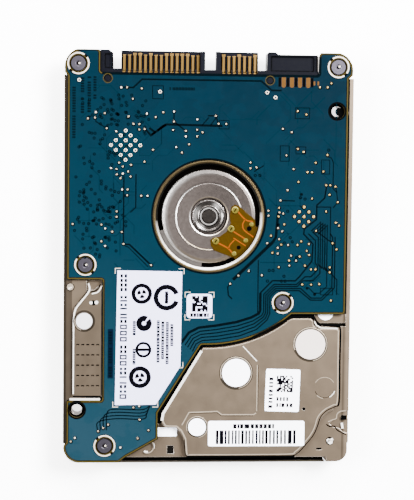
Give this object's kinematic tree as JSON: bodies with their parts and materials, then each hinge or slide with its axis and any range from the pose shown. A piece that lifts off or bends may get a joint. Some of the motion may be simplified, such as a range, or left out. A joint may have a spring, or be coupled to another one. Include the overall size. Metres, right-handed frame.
{
  "type": "hard disk drive",
  "caption": "Thin 2.5-inch hard disk drive lying on its cover: cast base, bare-side-up circuit board, motor plate, rear connector, and a spinning disk, swinging head arm and latch inside.",
  "frame": {"origin": "centre of the bounding box, on the cover's outer face which the drive lies on", "axes": "+X across the drive towards its right side seen from the board side with the connector at the top, +Y along its length towards the connector, +Z from the cover to the circuit board"},
  "size_m": [0.0698, 0.1004, 0.007],
  "materials": {
    "cast_aluminium": "satin as-cast",
    "steel_sheet": "fine brushed",
    "plated_steel": "dull zinc plate",
    "polished_steel": "polished",
    "seal_rubber": "matt",
    "label_film": "satin white film",
    "board_laminate": "semi-gloss solder mask over glass laminate",
    "clear_film": "matt insulating film",
    "connector_plastic": "fine moulded",
    "gold_plate": "gold plated",
    "chip_epoxy": "moulded epoxy",
    "ceramic_body": "matt",
    "motor_metal": "turned satin",
    "lamination_steel": "stamped",
    "copper_wire": "enamelled winding",
    "amber_film": "amber polyimide",
    "solder": "bright solder",
    "magnet_plate": "nickel plated",
    "platter_coat": "mirror polished",
    "light_plastic": "moulded",
    "filter_cloth": "soft"
  },
  "bodies": {
    "enclosure": {"base_casting": "cast_aluminium", "top_cover": "steel_sheet", "cover_gasket": "seal_rubber", "edge_seal_strip": "seal_rubber", "cover_screws": "plated_steel", "cover_label": "label_film", "circuit_board": "board_laminate", "board_insulator": "clear_film", "board_screws": "plated_steel", "board_label": "label_film", "board_code_label": "label_film", "serial_label": "label_film", "deck_code_label": "label_film", "spacer_label": "label_film", "hole_seals": "label_film", "port_seal": "label_film", "connector_housing": "connector_plastic", "power_contacts": "gold_plate", "data_contacts": "gold_plate", "controller_chip": "chip_epoxy", "motor_driver_chip": "chip_epoxy", "cache_chip": "chip_epoxy", "flash_chip": "chip_epoxy", "board_capacitors": "ceramic_body", "board_inductors": "chip_epoxy", "head_connector": "connector_plastic", "motor_bracket": "motor_metal", "bearing_sleeve": "polished_steel", "bearing_end_cap": "polished_steel", "stator_core": "lamination_steel", "stator_coils": "copper_wire", "motor_flex": "amber_film", "flex_solder_joints": "solder", "pivot_shaft": "polished_steel", "internal_screws": "plated_steel", "flex_loop": "amber_film", "flex_bracket": "connector_plastic", "magnet_plates": "magnet_plate", "magnets": "magnet_plate", "magnet_posts": "polished_steel", "crash_stops": "seal_rubber", "load_ramp": "light_plastic", "latch_pin": "polished_steel", "air_filters": "filter_cloth"},
    "spindle_rotor": {"spindle_hub": "motor_metal", "spindle_shaft": "polished_steel", "rotor_magnet": "magnet_plate", "platter": "platter_coat", "disk_clamp": "steel_sheet", "clamp_screws": "plated_steel"},
    "actuator": {"actuator_block": "cast_aluminium", "pivot_sleeve": "polished_steel", "pivot_balls": "polished_steel", "voice_coil": "copper_wire", "coil_frame": "connector_plastic", "base_side_suspension": "steel_sheet", "cover_side_suspension": "steel_sheet", "head_sliders": "ceramic_body", "preamp_chip": "chip_epoxy"},
    "latch": {"latch_lever": "connector_plastic"}
  },
  "joints": [
    {"name": "spindle_spin", "type": "hinge", "parent": "enclosure", "child": "spindle_rotor", "pos_m": [0, 0.0105, 0.0023], "axis": [0, 0, 1], "continuous": true},
    {"name": "actuator_swing", "type": "hinge", "parent": "enclosure", "child": "actuator", "pos_m": [0.007, -0.0275, 0.0033], "axis": [0, 0, 1], "range_deg": [-33, 0]},
    {"name": "latch_swing", "type": "hinge", "parent": "enclosure", "child": "latch", "pos_m": [0.0296, -0.022, 0.0036], "axis": [0, 0, 1], "range_deg": [-10, 0]}
  ]
}
